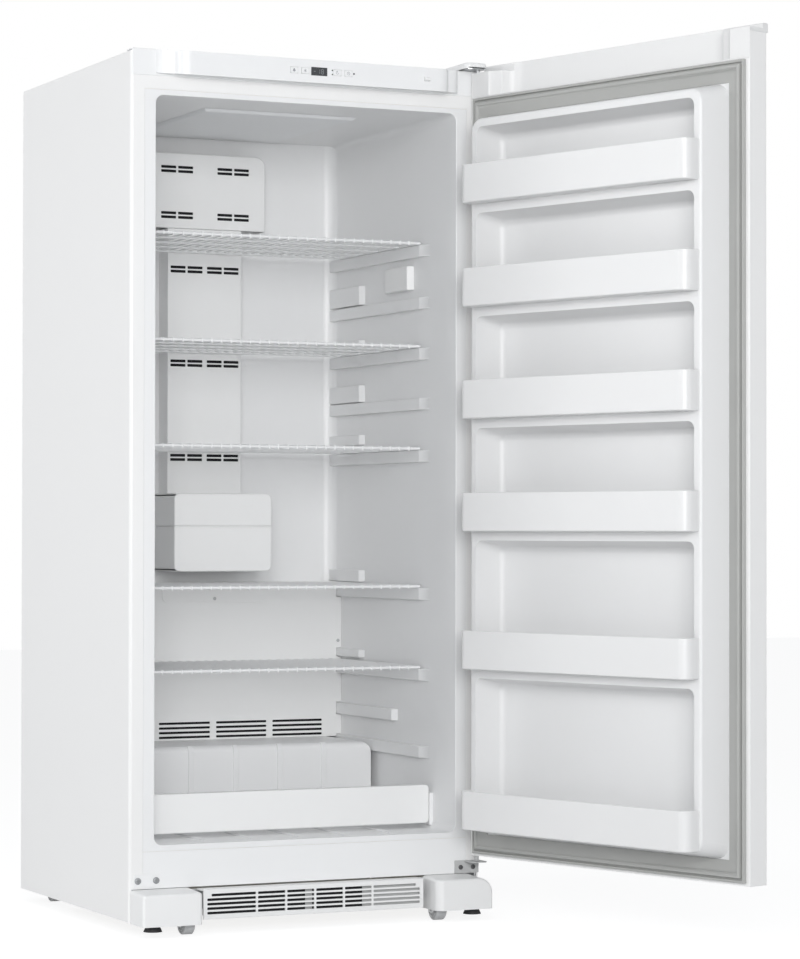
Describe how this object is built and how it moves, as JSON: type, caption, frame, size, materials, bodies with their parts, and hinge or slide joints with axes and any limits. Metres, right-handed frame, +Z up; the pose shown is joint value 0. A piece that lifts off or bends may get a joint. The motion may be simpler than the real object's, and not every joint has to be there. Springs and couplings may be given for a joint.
{
  "type": "upright freezer",
  "caption": "White upright freezer with its door open: wire shelves, drop-down gate, cold-air duct, door racks, control header, toe grille, rollers and levelling feet.",
  "frame": {"origin": "on the floor, in the middle of the box that the freezer takes up with its door open as stored", "axes": "+Z up, +Y from the front of the cabinet to its back, +X to the hinge side, the right as one faces the open cabinet"},
  "size_m": [1.0024, 1.3966, 1.7383],
  "materials": {
    "painted_steel": "smooth white enamel",
    "zinc_steel": "zinc plated sheet",
    "foam": "rigid cream foam",
    "liner_plastic": "white thermoformed sheet, soft gloss",
    "white_plastic": "white moulding, satin",
    "coated_wire": "white plastic coated wire",
    "light_diffuser": "milky white",
    "display": "dark glossy window",
    "gasket": "grey flexible vinyl",
    "roller_plastic": "grey moulding",
    "black_plastic": "black moulding",
    "compressor_shell": "black enamel",
    "condenser_tube": "dark enamelled tube",
    "evaporator_fins": "bare fins"
  },
  "bodies": {
    "cabinet": {"cabinet_wrapper": "painted_steel", "lower_front_panel": "painted_steel", "leg_bracket": "painted_steel", "back_panel": "zinc_steel", "service_cover": "zinc_steel", "base_frame": "zinc_steel", "top_hinge": "zinc_steel", "lower_hinge_bracket": "zinc_steel", "evaporator_fan_motor": "zinc_steel", "condenser_fan_motor": "zinc_steel", "foam_insulation": "foam", "cabinet_liner": "liner_plastic", "control_header": "white_plastic", "evaporator_cover": "white_plastic", "fan_cover": "white_plastic", "air_duct": "white_plastic", "duct_head": "white_plastic", "sensor_cover": "white_plastic", "hinge_cover": "white_plastic", "leg_cover_left": "white_plastic", "leg_cover_right": "white_plastic", "toe_grille": "white_plastic", "light_cover": "light_diffuser", "display_lens": "display", "drain_pan": "black_plastic", "cord_gland": "black_plastic", "compressor": "compressor_shell", "condenser_coil": "condenser_tube", "evaporator_coil": "evaporator_fins"},
    "shelf_1": {"wire_shelf_1": "coated_wire"},
    "shelf_2": {"wire_shelf_2": "coated_wire"},
    "shelf_3": {"wire_shelf_3": "coated_wire"},
    "shelf_4": {"wire_shelf_4": "coated_wire"},
    "shelf_5": {"wire_shelf_5": "coated_wire"},
    "key_1": {"key_1": "white_plastic"},
    "key_2": {"key_2": "white_plastic"},
    "key_3": {"key_3": "white_plastic"},
    "key_4": {"key_4": "white_plastic"},
    "gate": {"food_gate": "white_plastic"},
    "plunger": {"door_switch_plunger": "white_plastic"},
    "front_roller_left": {"front_roller_left": "roller_plastic"},
    "front_roller_right": {"front_roller_right": "roller_plastic"},
    "rear_roller_left": {"rear_roller_left": "roller_plastic"},
    "rear_roller_right": {"rear_roller_right": "roller_plastic"},
    "levelling_foot_left": {"levelling_foot_left": "black_plastic"},
    "levelling_foot_right": {"levelling_foot_right": "black_plastic"},
    "evaporator_fan": {"evaporator_fan": "black_plastic"},
    "condenser_fan": {"condenser_fan": "black_plastic"},
    "door": {"door_outer_panel": "painted_steel", "door_insulation": "foam", "door_liner": "liner_plastic", "door_gasket": "gasket", "door_top_band": "white_plastic", "handle_pocket": "white_plastic", "door_rack_1": "white_plastic", "door_rack_2": "white_plastic", "door_rack_3": "white_plastic", "door_rack_4": "white_plastic", "door_rack_5": "white_plastic", "door_rack_6": "white_plastic"}
  },
  "joints": [
    {"name": "door_hinge", "type": "hinge", "parent": "cabinet", "child": "door", "pos_m": [0.24639, 0.02022, 0.924], "axis": [0, 0, 1], "range_deg": [-106.4, 5]},
    {"name": "shelf_1_slide", "type": "slide", "parent": "cabinet", "child": "shelf_1", "axis": [0, -1, 0], "range_m": [0, 0.2]},
    {"name": "shelf_2_slide", "type": "slide", "parent": "cabinet", "child": "shelf_2", "axis": [0, -1, 0], "range_m": [0, 0.2]},
    {"name": "shelf_3_slide", "type": "slide", "parent": "cabinet", "child": "shelf_3", "axis": [0, -1, 0], "range_m": [0, 0.2]},
    {"name": "shelf_4_slide", "type": "slide", "parent": "cabinet", "child": "shelf_4", "axis": [0, -1, 0], "range_m": [0, 0.2]},
    {"name": "shelf_5_slide", "type": "slide", "parent": "cabinet", "child": "shelf_5", "axis": [0, -1, 0], "range_m": [0, 0.2]},
    {"name": "gate_hinge", "type": "hinge", "parent": "cabinet", "child": "gate", "pos_m": [-0.12121, 0.15132, 0.194], "axis": [1, 0, 0], "range_deg": [0, 90]},
    {"name": "key_1_press", "type": "slide", "parent": "cabinet", "child": "key_1", "axis": [0, 1, 0], "range_m": [0, 0.0008], "stiffness_N_per_m": 1500, "springref_m": -0.0004},
    {"name": "key_2_press", "type": "slide", "parent": "cabinet", "child": "key_2", "axis": [0, 1, 0], "range_m": [0, 0.0008], "stiffness_N_per_m": 1500, "springref_m": -0.0004},
    {"name": "key_3_press", "type": "slide", "parent": "cabinet", "child": "key_3", "axis": [0, 1, 0], "range_m": [0, 0.0008], "stiffness_N_per_m": 1500, "springref_m": -0.0004},
    {"name": "key_4_press", "type": "slide", "parent": "cabinet", "child": "key_4", "axis": [0, 1, 0], "range_m": [0, 0.0008], "stiffness_N_per_m": 1500, "springref_m": -0.0004},
    {"name": "door_switch_press", "type": "slide", "parent": "cabinet", "child": "plunger", "axis": [0, 1, 0], "range_m": [0, 0.005], "stiffness_N_per_m": 300, "springref_m": -0.002},
    {"name": "front_roller_left_roll", "type": "hinge", "parent": "cabinet", "child": "front_roller_left", "pos_m": [-0.39321, 0.00732, 0.022], "axis": [1, 0, 0], "continuous": true},
    {"name": "front_roller_right_roll", "type": "hinge", "parent": "cabinet", "child": "front_roller_right", "pos_m": [0.15079, 0.00732, 0.022], "axis": [1, 0, 0], "continuous": true},
    {"name": "rear_roller_left_roll", "type": "hinge", "parent": "cabinet", "child": "rear_roller_left", "pos_m": [-0.44521, 0.63232, 0.02], "axis": [1, 0, 0], "continuous": true},
    {"name": "rear_roller_right_roll", "type": "hinge", "parent": "cabinet", "child": "rear_roller_right", "pos_m": [0.20279, 0.63232, 0.02], "axis": [1, 0, 0], "continuous": true},
    {"name": "levelling_foot_left_screw", "type": "slide", "parent": "cabinet", "child": "levelling_foot_left", "axis": [0, 0, -1], "range_m": [0, 0.0095]},
    {"name": "levelling_foot_right_screw", "type": "slide", "parent": "cabinet", "child": "levelling_foot_right", "axis": [0, 0, -1], "range_m": [0, 0.0095]},
    {"name": "evaporator_fan_spin", "type": "hinge", "parent": "cabinet", "child": "evaporator_fan", "pos_m": [-0.12121, 0.55732, 0.781], "axis": [0, 1, 0], "continuous": true},
    {"name": "condenser_fan_spin", "type": "hinge", "parent": "cabinet", "child": "condenser_fan", "pos_m": [-0.14121, 0.50332, 0.098], "axis": [0, 1, 0], "continuous": true}
  ]
}
